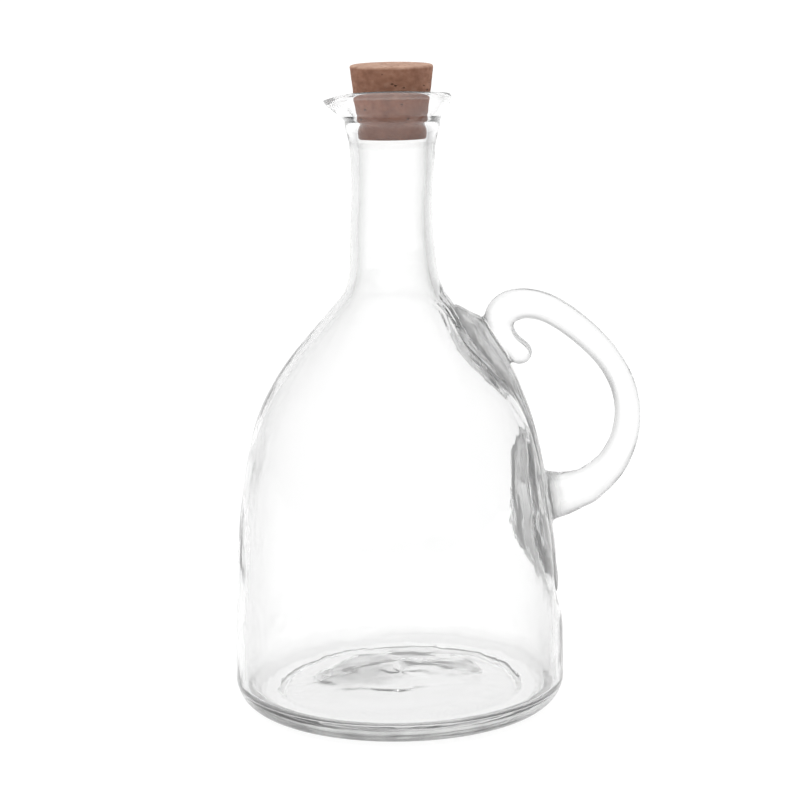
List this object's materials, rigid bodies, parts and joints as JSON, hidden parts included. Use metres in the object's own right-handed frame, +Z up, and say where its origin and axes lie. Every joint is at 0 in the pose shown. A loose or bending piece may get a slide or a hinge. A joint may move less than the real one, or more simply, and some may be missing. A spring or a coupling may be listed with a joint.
{
  "type": "oil cruet",
  "caption": "Hand-blown clear glass oil cruet with a pulled pouring spout, an applied curled loop handle and a tapered cork stopper that pulls out.",
  "frame": {"origin": "on the surface it stands on, under the middle of its overall box, so the bottle's own axis stands 13.7 mm to the -X side", "axes": "+Z up along the bottle, its longest extent; +X towards the handle, with the spout at -X; +Y to the back, the shortest extent"},
  "size_m": [0.1458, 0.1184, 0.2275],
  "materials": {
    "bottle_glass": "polished",
    "handle_glass": "polished",
    "cork": "matte"
  },
  "bodies": {
    "glass": {"bottle": "bottle_glass", "handle": "handle_glass"},
    "stopper": {"cork_stopper": "cork"}
  },
  "joints": [
    {"name": "cork_pull", "type": "slide", "parent": "glass", "child": "stopper", "axis": [0, 0, 1], "range_m": [0, 0.04]}
  ]
}
